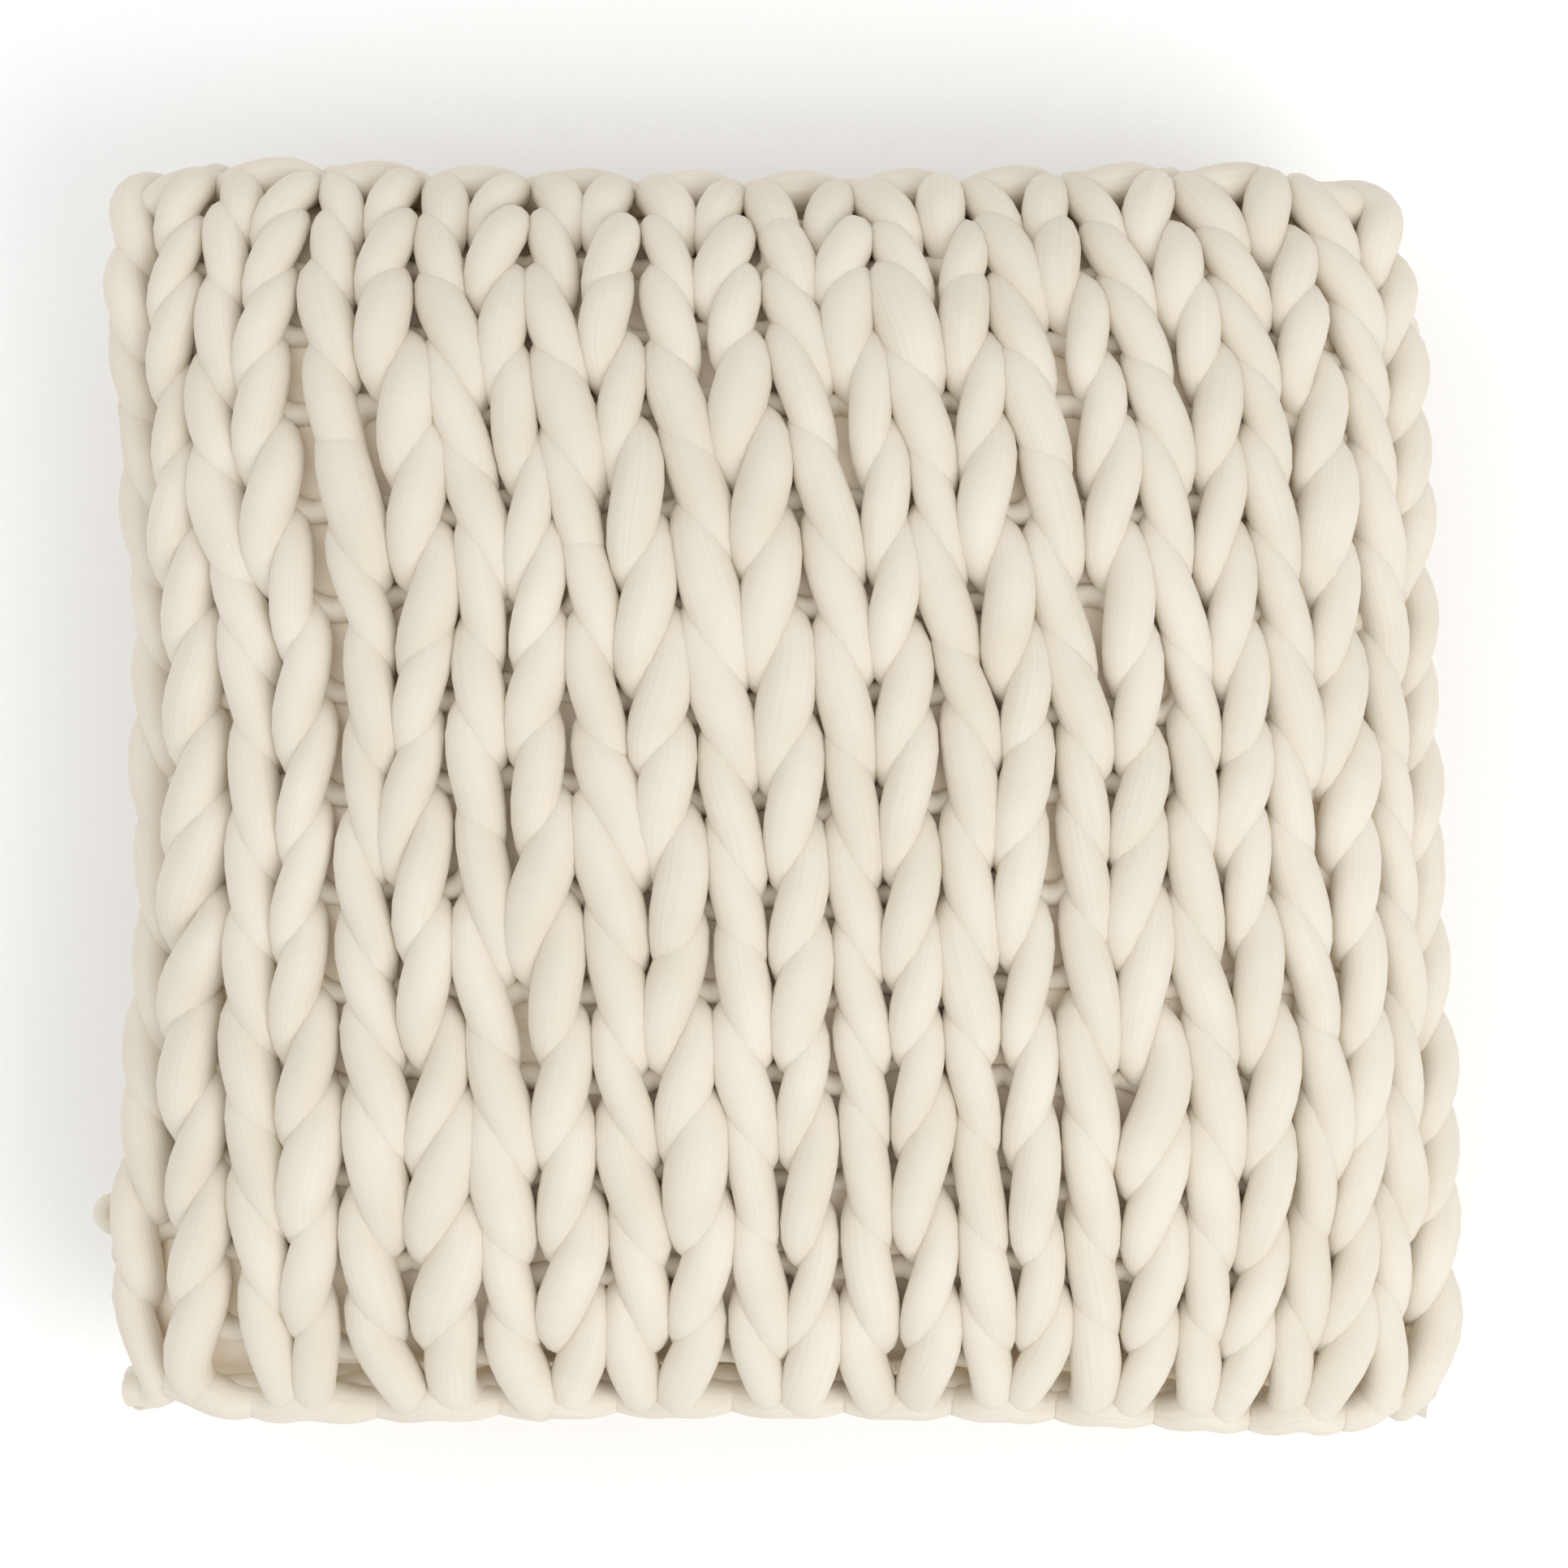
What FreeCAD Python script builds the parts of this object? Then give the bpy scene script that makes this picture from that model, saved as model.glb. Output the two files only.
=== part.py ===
import FreeCAD, Part
import os
import math
import Sketcher

# A square scatter cushion lying on its back: a hand-knitted roving cover with a
# zipped cotton lining, and a filled pad inside it.  Millimetres, +Z up, origin in
# the middle of the flat underside.  Every layer is modelled about the cushion's
# mid-height and then lifted, so front and back pieces are mirror images.

# name, value and meaning of each driving size
SIZES = [
    ("overall_length", 450.0, "cover, side to side along X"),
    ("overall_width", 428.0, "cover, zip edge to closed edge along Y"),
    ("overall_height", 160.0, "cover, underside to crown"),
    ("corner_radius", 45.0, "plan corner of the cover at its rim"),
    ("rim_half", 17.0, "half height of the upright rim"),
    ("crown_reach", 104.0, "how far the crown runs in before it is flat"),
    ("knit_wall", 30.0, "thickness of the knitted layer"),
    ("layer_gap", 0.4, "gap between one layer and the next"),
    ("lining_wall", 1.0, "lining cloth, seams included"),
    ("casing_wall", 1.0, "pad casing cloth"),
    ("pad_ease", 2.4, "how much smaller the pad is, each side in plan"),
    ("seam_diameter", 9.0, "lacing yarn that joins the two panels"),
    ("zip_length", 340.0, "chain between the outer ends of the stops"),
    ("tape_tail", 5.0, "tape past each end of the chain"),
    ("tape_width", 8.5, "tape beside the chain"),
    ("tape_wall", 0.6, "tape thickness"),
    ("slot_half", 13.0, "half height of the slot between the knitted edges"),
    ("slot_end", 10.0, "slot past the closed end of the chain"),
    ("tab_room", 4.0, "slot past the pull tab's tip with the zip open"),
    ("slit_half", 7.0, "half height of the slit in the lining"),
    ("row_gap", 1.4, "gap between the two rows of teeth"),
    ("tooth_reach", 1.6, "tooth beyond its spine"),
    ("tooth_length", 1.5, "tooth along the chain"),
    ("tooth_pitch", 3.0, "tooth to tooth"),
    ("tooth_depth", 2.4, "tooth through the tape"),
    ("spine_width", 1.0, "corded edge that carries the teeth"),
    ("spine_depth", 1.6, "corded edge through the tape"),
    ("stop_length", 3.0, "stop along the chain"),
    ("stop_depth", 3.2, "stop through the tape"),
    ("slider_length", 12.0, "slider along the chain"),
    ("slider_width", 10.6, "slider across the chain"),
    ("slider_wall", 1.3, "slider plate"),
    ("running_gap", 0.3, "slider to whatever it runs past"),
    ("divider_length", 4.0, "post between the slider's plates"),
    ("bridge_length", 7.6, "bridge along the slider"),
    ("bridge_width", 1.6, "bridge across the slider"),
    ("bridge_bar", 1.2, "leg and bar of the bridge"),
    ("bridge_clear", 2.2, "room under the bridge"),
    ("tab_length", 26.0, "pull tab from its pin"),
    ("tab_width", 6.0, "pull tab across"),
    ("tab_wall", 1.2, "pull tab thickness, and its pin"),
    ("tab_window", 5.2, "eye of the pull tab from its pin"),
    ("tab_side_gap", 0.6, "eye of the pull tab to each side of the bridge"),
    ("grip_radius", 1.2, "hole in the pull tab's grip"),
    ("label_length", 40.0, "care label along the side seam"),
    ("label_height", 24.0, "care label across the side seam"),
    ("label_wall", 0.35, "care label cloth"),
]

# heights of the crown's sections, as shares of its rise
CROWN_STEPS = [0.0, 0.35, 0.62, 0.82, 0.94, 1.0]
# how much rounder a corner grows for each millimetre that the crown runs in
CORNER_GROWTH = 0.2
# cuts run this far past the wall that they open
CUT_PAST = 1.0

# positions that several pieces share, as expressions on the sheet
MID = "Sizes.overall_height / 2"
LINING_MARGIN = "(Sizes.knit_wall + Sizes.layer_gap)"
LINING_INSIDE = f"({LINING_MARGIN} + Sizes.lining_wall)"
CASING_MARGIN = f"({LINING_INSIDE} + Sizes.layer_gap)"
CASING_INSIDE = f"({CASING_MARGIN} + Sizes.casing_wall)"
FILLING_MARGIN = f"({CASING_INSIDE} + Sizes.layer_gap)"
LINING_FACE = f"(Sizes.overall_width / 2 - {LINING_MARGIN})"
TAPE_PLANE = f"({LINING_FACE} + Sizes.layer_gap + Sizes.tape_wall / 2)"
ROW_EDGE = "(Sizes.row_gap / 2)"
SPINE_EDGE = f"({ROW_EDGE} + Sizes.tooth_reach)"
TAPE_EDGE = f"({SPINE_EDGE} + Sizes.spine_width)"
CHAIN_LENGTH = "(Sizes.zip_length - 2 * Sizes.stop_length)"
CHANNEL_HALF = "(Sizes.tooth_depth / 2 + Sizes.running_gap)"
SLIDER_FACE = f"({CHANNEL_HALF} + Sizes.slider_wall)"
SLIDER_X = "(Sizes.zip_length / 2 - Sizes.stop_length - Sizes.running_gap - Sizes.slider_length / 2)"
OPEN_SLIDER_X = f"(-{SLIDER_X})"
PIN_Y = f"({TAPE_PLANE} + {SLIDER_FACE} + Sizes.bridge_clear / 2)"


def make_sheet(doc):
    """Put every driving size in the sheet under its own alias."""
    sheet = doc.addObject("Spreadsheet::Sheet", "Sizes")
    for row, (alias, value, meaning) in enumerate(SIZES, start=1):
        sheet.set(f"A{row}", meaning)
        sheet.set(f"B{row}", str(value))
        sheet.setAlias(f"B{row}", alias)
    doc.recompute()
    return sheet


def origin_plane(body, role):
    """Return one of a body's own origin planes."""
    return next(item for item in body.Origin.OriginFeatures if item.Role == role)


def rounded_rectangle(sketch, length, width, radius):
    """Draw a centred rectangle with round corners whose sizes are expressions."""
    flat_x, flat_y, corner = 60.0, 50.0, 20.0
    outer_x, outer_y = flat_x + corner, flat_y + corner
    up = FreeCAD.Vector(0, 0, 1)

    def line(x1, y1, x2, y2):
        return Part.LineSegment(FreeCAD.Vector(x1, y1, 0), FreeCAD.Vector(x2, y2, 0))

    def arc(x, y, start):
        circle = Part.Circle(FreeCAD.Vector(x, y, 0), up, corner)
        return Part.ArcOfCircle(circle, start, start + math.pi / 2)

    sketch.addGeometry(
        [
            line(-flat_x, -outer_y, flat_x, -outer_y),
            arc(flat_x, -flat_y, -math.pi / 2),
            line(outer_x, -flat_y, outer_x, flat_y),
            arc(flat_x, flat_y, 0.0),
            line(flat_x, outer_y, -flat_x, outer_y),
            arc(-flat_x, flat_y, math.pi / 2),
            line(-outer_x, flat_y, -outer_x, -flat_y),
            arc(-flat_x, -flat_y, math.pi),
        ],
        False,
    )
    rule = Sketcher.Constraint
    sketch.addConstraint([rule("Tangent", i, 2, (i + 1) % 8, 1) for i in range(8)])
    sketch.addConstraint([rule("Horizontal", 0), rule("Vertical", 2)])
    sketch.addConstraint([rule("Horizontal", 4), rule("Vertical", 6)])
    sketch.addConstraint([rule("Equal", 1, 3), rule("Equal", 3, 5), rule("Equal", 5, 7)])
    sketch.addConstraint(rule("Symmetric", 0, 1, 4, 1, -1, 1))
    sizes = {
        "across": rule("DistanceX", 6, 1, 2, 2, 2 * outer_x),
        "along": rule("DistanceY", 0, 1, 4, 2, 2 * outer_y),
        "corner": rule("Radius", 1, corner),
    }
    for name, constraint in sizes.items():
        sketch.renameConstraint(sketch.addConstraint(constraint), name)
    sketch.setExpression("Constraints.across", length)
    sketch.setExpression("Constraints.along", width)
    sketch.setExpression("Constraints.corner", radius)


def half_cushion(doc, name, margin, ease="0"):
    """Make the upper half of the cushion's form, drawn in by margin on every side.

    ease draws it in further in plan only.  The result is a Body with an upright
    rim and an elliptical crown that ends in a flat.
    """
    body = doc.addObject("PartDesign::Body", name)
    plane = origin_plane(body, "XY_Plane")
    rise = f"(Sizes.overall_height / 2 - Sizes.rim_half - {margin})"

    def section(step):
        drop = 1 - math.sqrt(1 - step * step)
        run_in = f"({margin} + {ease} + {drop} * Sizes.crown_reach)"
        sketch = body.newObject("Sketcher::SketchObject", f"{name}_section")
        sketch.AttachmentSupport = [(plane, "")]
        sketch.MapMode = "FlatFace"
        rounded_rectangle(
            sketch,
            f"Sizes.overall_length - 2 * {run_in}",
            f"Sizes.overall_width - 2 * {run_in}",
            f"Sizes.corner_radius - {margin} + {CORNER_GROWTH} * {drop} * Sizes.crown_reach",
        )
        sketch.setExpression("AttachmentOffset.Base.z", f"Sizes.rim_half + {step} * {rise}")
        return sketch

    foot = section(0.0)
    foot.setExpression("AttachmentOffset.Base.z", "0")
    rim = body.newObject("PartDesign::Pad", f"{name}_rim")
    rim.Profile = foot
    rim.setExpression("Length", "Sizes.rim_half")
    sections = [section(step) for step in CROWN_STEPS]
    crown = body.newObject("PartDesign::AdditiveLoft", f"{name}_crown")
    crown.Profile = sections[0]
    crown.Sections = sections[1:]
    crown.Ruled = True
    return body


def block(doc, name, size, low):
    """Make a box from its three sizes and its lowest corner, all expressions."""
    item = doc.addObject("Part::Box", name)
    for prop, text in zip(("Length", "Width", "Height"), size):
        item.setExpression(prop, text)
    for axis, text in zip("xyz", low):
        item.setExpression(f"Placement.Base.{axis}", text)
    return item


def rod(doc, name, radius, length, centre, axis):
    """Make a cylinder that is centred on a point and lies along X, Y or Z."""
    turns = {
        "x": FreeCAD.Rotation(FreeCAD.Vector(0, 1, 0), 90),
        "y": FreeCAD.Rotation(FreeCAD.Vector(1, 0, 0), -90),
        "z": FreeCAD.Rotation(),
    }
    item = doc.addObject("Part::Cylinder", name)
    item.Placement = FreeCAD.Placement(FreeCAD.Vector(), turns[axis])
    item.setExpression("Radius", radius)
    item.setExpression("Height", length)
    for letter, text in zip("xyz", centre):
        shift = f" - ({length}) / 2" if letter == axis else ""
        item.setExpression(f"Placement.Base.{letter}", f"{text}{shift}")
    return item


def cut(doc, name, base, tools):
    """Take one or more solids away from a base."""
    tool = tools[0] if len(tools) == 1 else fuse(doc, f"{name}_tools", tools)
    item = doc.addObject("Part::Cut", name)
    item.Base = base
    item.Tool = tool
    return item


def fuse(doc, name, items):
    """Join solids into one piece."""
    item = doc.addObject("Part::MultiFuse", name)
    item.Shapes = items
    item.Refine = True
    return item


def mirror(doc, name, source):
    """Mirror a piece in the cushion's mid-height plane."""
    item = doc.addObject("Part::Mirroring", name)
    item.Source = source
    item.Base = FreeCAD.Vector()
    item.Normal = FreeCAD.Vector(0, 0, 1)
    return item


def lift(item):
    """Raise a piece from the mid-height plane to where the cushion stands on z = 0."""
    item.setExpression("Placement.Base.z", MID)
    return item


def front_and_back(doc, stem, front):
    """Place a front piece and its mirror image as two sub-parts."""
    back = lift(mirror(doc, f"{stem}_back", front))
    # the front piece is placed through a mirror of the mirror, so that its own
    # shape stays on the mid-height plane for the back piece to use
    flipped = mirror(doc, f"{stem}_back_unplaced", front)
    return [lift(mirror(doc, f"{stem}_front", flipped)), back]


def make_seam_yarns(doc):
    """Lacing yarns at mid-height along the two sides and the closed edge."""
    radius = "Sizes.seam_diameter / 2"
    side_x = "(Sizes.overall_length / 2 - Sizes.seam_diameter / 2)"
    edge_y = "(Sizes.overall_width / 2 - Sizes.seam_diameter / 2)"
    side_run = "(Sizes.overall_width - 2 * Sizes.corner_radius)"
    edge_run = "(Sizes.overall_length - 2 * Sizes.corner_radius)"
    routes = {
        "seam_yarn_left": (side_run, (f"-{side_x}", "0", "0"), "y"),
        "seam_yarn_right": (side_run, (side_x, "0", "0"), "y"),
        "seam_yarn_top": (edge_run, ("0", edge_y, "0"), "x"),
    }
    yarns = []
    grooves = []
    for name, (run, centre, axis) in routes.items():
        yarns.append(rod(doc, name, radius, run, (centre[0], centre[1], MID), axis))
        grooves.append(
            rod(
                doc,
                f"{name}_groove",
                f"{radius} + Sizes.layer_gap",
                f"{run} + 2 * Sizes.layer_gap",
                centre,
                axis,
            )
        )
    return yarns, grooves


def make_knit(doc, grooves):
    """The two knitted panels, open along the zip edge and grooved for the lacing."""
    outside = half_cushion(doc, "knit_outside", "0")
    inside = half_cushion(doc, "knit_inside", "Sizes.knit_wall")
    slot_low = f"({OPEN_SLIDER_X} - Sizes.tab_length - Sizes.tab_room)"
    slot_high = "(Sizes.zip_length / 2 + Sizes.slot_end)"
    slot = block(
        doc,
        "zip_slot",
        (
            f"{slot_high} - {slot_low}",
            f"Sizes.knit_wall + {2 * CUT_PAST}",
            "2 * Sizes.slot_half",
        ),
        (slot_low, f"-Sizes.overall_width / 2 - {CUT_PAST}", "-Sizes.slot_half"),
    )
    front = cut(doc, "knit_half", outside, [inside, slot] + grooves)
    return front_and_back(doc, "knit", front)


def make_lining(doc):
    """The two lining panels, slit along the zip edge."""
    outside = half_cushion(doc, "lining_outside", LINING_MARGIN)
    inside = half_cushion(doc, "lining_inside", LINING_INSIDE)
    slit = block(
        doc,
        "lining_slit",
        ("Sizes.zip_length", f"Sizes.lining_wall + {2 * CUT_PAST}", "2 * Sizes.slit_half"),
        ("-Sizes.zip_length / 2", f"-{LINING_FACE} - {CUT_PAST}", "-Sizes.slit_half"),
    )
    front = cut(doc, "lining_half", outside, [inside, slit])
    return front_and_back(doc, "lining", front)


def make_pad(doc):
    """The filled pad: two casing panels and the filling."""
    ease = "Sizes.pad_ease"
    outside = half_cushion(doc, "casing_outside", CASING_MARGIN, ease)
    inside = half_cushion(doc, "casing_inside", CASING_INSIDE, ease)
    panels = front_and_back(doc, "pad_casing", cut(doc, "casing_half", outside, [inside]))
    half = half_cushion(doc, "filling_half", FILLING_MARGIN, ease)
    filling = fuse(doc, "pad_filling", [half, mirror(doc, "filling_back", half)])
    return panels + [lift(filling)]


def make_care_label(doc):
    """A blank care label against the lining, in its left side seam."""
    wall = f"(Sizes.overall_length / 2 - {LINING_INSIDE} - Sizes.running_gap)"
    return block(
        doc,
        "care_label",
        ("Sizes.label_wall", "Sizes.label_length", "Sizes.label_height"),
        (f"-{wall}", "-Sizes.overall_width / 4", f"{MID} - Sizes.label_height / 2"),
    )


def make_tapes(doc):
    """The two zip tapes, beside the chain and against the lining's slit."""
    run = "(Sizes.zip_length + 2 * Sizes.tape_tail)"
    heights = {
        "zip_tape_upper": f"{MID} + {TAPE_EDGE}",
        "zip_tape_lower": f"{MID} - {TAPE_EDGE} - Sizes.tape_width",
    }
    return [
        block(
            doc,
            name,
            (run, "Sizes.tape_wall", "Sizes.tape_width"),
            (f"-{run} / 2", f"-{TAPE_PLANE} - Sizes.tape_wall / 2", low),
        )
        for name, low in heights.items()
    ]


def make_teeth(doc, name, side, phase):
    """One row of teeth on its corded edge; side is 1 above the chain and -1 below.

    phase shifts the row by a share of the pitch, so that facing teeth alternate.
    """
    body = doc.addObject("PartDesign::Body", name)
    spine = body.newObject("PartDesign::AdditiveBox", f"{name}_spine")
    spine.setExpression("Length", CHAIN_LENGTH)
    spine.setExpression("Width", "Sizes.spine_depth")
    spine.setExpression("Height", "Sizes.spine_width")
    spine_low = SPINE_EDGE if side > 0 else f"-{TAPE_EDGE}"
    spine.setExpression("AttachmentOffset.Base.x", f"-{CHAIN_LENGTH} / 2")
    spine.setExpression("AttachmentOffset.Base.y", "-Sizes.spine_depth / 2")
    spine.setExpression("AttachmentOffset.Base.z", spine_low)
    spine.AttachmentSupport = [(origin_plane(body, "XY_Plane"), "")]
    spine.MapMode = "FlatFace"

    tooth = body.newObject("PartDesign::AdditiveBox", f"{name}_tooth")
    tooth.setExpression("Length", "Sizes.tooth_length")
    tooth.setExpression("Width", "Sizes.tooth_depth")
    # each tooth wraps its spine, up to the tape
    tooth.setExpression("Height", "Sizes.tooth_reach + Sizes.spine_width")
    tooth_low = ROW_EDGE if side > 0 else f"-{TAPE_EDGE}"
    tooth.setExpression(
        "AttachmentOffset.Base.x", f"-{CHAIN_LENGTH} / 2 + {phase} * Sizes.tooth_pitch"
    )
    tooth.setExpression("AttachmentOffset.Base.y", "-Sizes.tooth_depth / 2")
    tooth.setExpression("AttachmentOffset.Base.z", tooth_low)
    tooth.AttachmentSupport = [(origin_plane(body, "XY_Plane"), "")]
    tooth.MapMode = "FlatFace"
    doc.recompute()

    row = body.newObject("PartDesign::LinearPattern", f"{name}_row")
    row.Originals = [tooth]
    row.Direction = (origin_plane(body, "X_Axis"), [""])
    count = f"floor(({CHAIN_LENGTH} - Sizes.tooth_length - Sizes.tooth_pitch) / Sizes.tooth_pitch) + 1"
    row.setExpression("Occurrences", count)
    row.setExpression("Length", f"({count} - 1) * Sizes.tooth_pitch")
    body.Tip = row
    body.setExpression("Placement.Base.y", f"-{TAPE_PLANE}")
    return lift(body)


def make_stops(doc):
    """Two top stops at the closed end and one bottom stop across both rows."""
    depth_low = f"-{TAPE_PLANE} - Sizes.stop_depth / 2"
    row_height = "(Sizes.tooth_reach + Sizes.spine_width)"
    top_x = "Sizes.zip_length / 2 - Sizes.stop_length"
    tops = [
        block(
            doc,
            f"top_stop_{index}",
            ("Sizes.stop_length", "Sizes.stop_depth", row_height),
            (top_x, depth_low, low),
        )
        for index, low in enumerate((f"{MID} + {ROW_EDGE}", f"{MID} - {TAPE_EDGE}"))
    ]
    pair = doc.addObject("Part::Compound", "zip_top_stops")
    pair.Links = tops
    bottom = block(
        doc,
        "zip_bottom_stop",
        ("Sizes.stop_length", "Sizes.stop_depth", f"2 * {TAPE_EDGE}"),
        ("-Sizes.zip_length / 2", depth_low, f"{MID} - {TAPE_EDGE}"),
    )
    return [pair, bottom]


def make_slider(doc):
    """The slider: two plates joined by a post, with a bridge for the pull tab."""
    left = f"{SLIDER_X} - Sizes.slider_length / 2"
    shell = block(
        doc,
        "slider_block",
        ("Sizes.slider_length", f"2 * {SLIDER_FACE}", "Sizes.slider_width"),
        (left, f"-{TAPE_PLANE} - {SLIDER_FACE}", f"{MID} - Sizes.slider_width / 2"),
    )
    channel_height = f"(2 * ({TAPE_EDGE} + 2 * Sizes.running_gap))"
    past = f"Sizes.slider_length + {2 * CUT_PAST}"
    channel = block(
        doc,
        "slider_channel",
        (past, f"2 * {CHANNEL_HALF}", channel_height),
        (f"{left} - {CUT_PAST}", f"-{TAPE_PLANE} - {CHANNEL_HALF}", f"{MID} - {channel_height} / 2"),
    )
    throat_half = "(Sizes.tape_wall / 2 + Sizes.running_gap)"
    throat_height = f"(Sizes.slider_width + {2 * CUT_PAST})"
    throat = block(
        doc,
        "slider_tape_throat",
        (past, f"2 * {throat_half}", throat_height),
        (f"{left} - {CUT_PAST}", f"-{TAPE_PLANE} - {throat_half}", f"{MID} - {throat_height} / 2"),
    )
    plates = cut(doc, "slider_plates", shell, [channel, throat])
    divider_width = "(Sizes.row_gap - 2 * Sizes.running_gap)"
    divider = block(
        doc,
        "slider_divider",
        ("Sizes.divider_length", f"2 * {SLIDER_FACE}", divider_width),
        (
            f"{left} + Sizes.slider_length - Sizes.divider_length",
            f"-{TAPE_PLANE} - {SLIDER_FACE}",
            f"{MID} - {divider_width} / 2",
        ),
    )
    bridge_height = "(Sizes.bridge_clear + Sizes.bridge_bar)"
    bridge_y = f"-{TAPE_PLANE} - {SLIDER_FACE}"
    arch = block(
        doc,
        "slider_arch",
        ("Sizes.bridge_length", bridge_height, "Sizes.bridge_width"),
        (
            f"{SLIDER_X} - Sizes.bridge_length / 2",
            f"{bridge_y} - {bridge_height}",
            f"{MID} - Sizes.bridge_width / 2",
        ),
    )
    eye_length = "(Sizes.bridge_length - 2 * Sizes.bridge_bar)"
    eye = block(
        doc,
        "slider_eye",
        (eye_length, "Sizes.bridge_clear", f"Sizes.bridge_width + {2 * CUT_PAST}"),
        (
            f"{SLIDER_X} - {eye_length} / 2",
            f"{bridge_y} - Sizes.bridge_clear",
            f"{MID} - Sizes.bridge_width / 2 - {CUT_PAST}",
        ),
    )
    bridge = cut(doc, "slider_bridge", arch, [eye])
    return fuse(doc, "zip_slider", [plates, divider, bridge])


def make_pull_tab(doc):
    """The pull tab: a flat tongue whose pin passes under the slider's bridge."""
    y_low = f"-{PIN_Y} - Sizes.tab_wall / 2"
    tip_x = f"({SLIDER_X} - Sizes.tab_length + Sizes.tab_width / 2)"
    tongue = block(
        doc,
        "tab_tongue",
        (f"{SLIDER_X} - {tip_x}", "Sizes.tab_wall", "Sizes.tab_width"),
        (tip_x, y_low, f"{MID} - Sizes.tab_width / 2"),
    )
    tip_centre = (tip_x, f"-{PIN_Y}", MID)
    tip = rod(doc, "tab_tip", "Sizes.tab_width / 2", "Sizes.tab_wall", tip_centre, "y")
    outline = fuse(doc, "tab_outline", [tongue, tip])
    eye_height = "(Sizes.bridge_width + 2 * Sizes.tab_side_gap)"
    eye = block(
        doc,
        "tab_eye",
        (
            f"Sizes.tab_window + {CUT_PAST}",
            f"Sizes.tab_wall + {2 * CUT_PAST}",
            eye_height,
        ),
        (f"{SLIDER_X} - Sizes.tab_window", f"{y_low} - {CUT_PAST}", f"{MID} - {eye_height} / 2"),
    )
    grip_length = f"Sizes.tab_wall + {2 * CUT_PAST}"
    grip = rod(doc, "tab_grip", "Sizes.grip_radius", grip_length, tip_centre, "y")
    tongue_cut = cut(doc, "tab_tongue_cut", outline, [eye, grip])
    pin_centre = (SLIDER_X, f"-{PIN_Y}", MID)
    pin = rod(doc, "tab_pin", "Sizes.tab_wall / 2", "Sizes.tab_width", pin_centre, "z")
    return fuse(doc, "zip_pull_tab", [tongue_cut, pin])


def check(doc, parts):
    """Stop if any object failed or any sub-part has no sound shape."""
    for item in doc.Objects:
        failed = {"Invalid", "Error"} & set(item.State)
        if failed:
            raise RuntimeError(f"{item.Name} is {failed}")
    for part in parts:
        shape = part.Shape
        if shape.isNull() or not shape.isValid() or not shape.Solids:
            raise RuntimeError(f"{part.Label} has no sound solid")


def main():
    os.makedirs("parts", exist_ok=True)
    doc = FreeCAD.newDocument("knitted_cushion")
    make_sheet(doc)
    yarns, grooves = make_seam_yarns(doc)
    parts = make_knit(doc, grooves) + yarns
    parts += make_lining(doc)
    parts += make_pad(doc)
    parts.append(make_care_label(doc))
    parts += make_tapes(doc)
    parts.append(make_teeth(doc, "zip_teeth_upper", 1, 0.0))
    parts.append(make_teeth(doc, "zip_teeth_lower", -1, 0.5))
    parts += make_stops(doc)
    parts.append(make_slider(doc))
    parts.append(make_pull_tab(doc))
    doc.recompute()
    check(doc, parts)
    for part in parts:
        part.Label = part.Name
        part.Shape.exportStep(f"parts/{part.Label}.step")
        box = part.Shape.BoundBox
        print(
            f"{part.Label}: {len(part.Shape.Solids)} solid(s), {part.Shape.Volume:.0f} mm3,"
            f" x {box.XMin:.2f}..{box.XMax:.2f}, y {box.YMin:.2f}..{box.YMax:.2f},"
            f" z {box.ZMin:.2f}..{box.ZMax:.2f}"
        )


main()
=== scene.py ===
"""A scatter cushion with a hand-knitted roving cover, lying on its back on a pale floor.

The knitted panels are real stitches: one yarn per panel runs to and fro in courses of
interlocking loops over the cushion's form.  Behind them lie the cotton lining, the zip
along the edge at -Y and the filled pad.
"""
import logging
import math
import random
from dataclasses import dataclass, field
from enum import Enum

import bmesh
import bpy
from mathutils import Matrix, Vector, noise


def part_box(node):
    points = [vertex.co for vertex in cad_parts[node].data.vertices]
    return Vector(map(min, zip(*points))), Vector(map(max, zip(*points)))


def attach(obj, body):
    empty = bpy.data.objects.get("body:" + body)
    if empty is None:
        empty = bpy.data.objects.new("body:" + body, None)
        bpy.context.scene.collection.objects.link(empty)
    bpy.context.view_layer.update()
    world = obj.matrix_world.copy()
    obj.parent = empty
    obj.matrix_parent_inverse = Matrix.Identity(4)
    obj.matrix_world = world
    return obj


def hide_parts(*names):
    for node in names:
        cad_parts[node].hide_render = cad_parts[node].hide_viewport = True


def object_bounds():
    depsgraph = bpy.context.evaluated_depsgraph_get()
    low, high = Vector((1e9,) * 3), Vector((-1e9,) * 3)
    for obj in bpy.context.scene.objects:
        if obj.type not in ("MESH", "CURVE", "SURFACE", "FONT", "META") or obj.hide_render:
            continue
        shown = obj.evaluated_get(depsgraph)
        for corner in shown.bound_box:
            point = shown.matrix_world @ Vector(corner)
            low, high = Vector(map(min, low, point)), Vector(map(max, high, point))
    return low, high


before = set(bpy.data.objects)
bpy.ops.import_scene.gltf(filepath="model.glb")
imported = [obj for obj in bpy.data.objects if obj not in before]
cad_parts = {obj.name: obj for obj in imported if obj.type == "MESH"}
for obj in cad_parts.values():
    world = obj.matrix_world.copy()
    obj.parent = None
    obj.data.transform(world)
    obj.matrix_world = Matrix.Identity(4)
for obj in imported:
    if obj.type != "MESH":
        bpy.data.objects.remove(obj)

CAD_BOUNDS = [list(map(float, corner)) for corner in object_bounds()]
MM = 0.001
COVER = "cover"
log = logging.getLogger("cushion")


class Face(Enum):
    """Which side of the cushion a piece is on, as the sign of its Z direction."""

    FRONT = 1
    BACK = -1


# ---------------------------------------------------------------- materials


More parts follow.
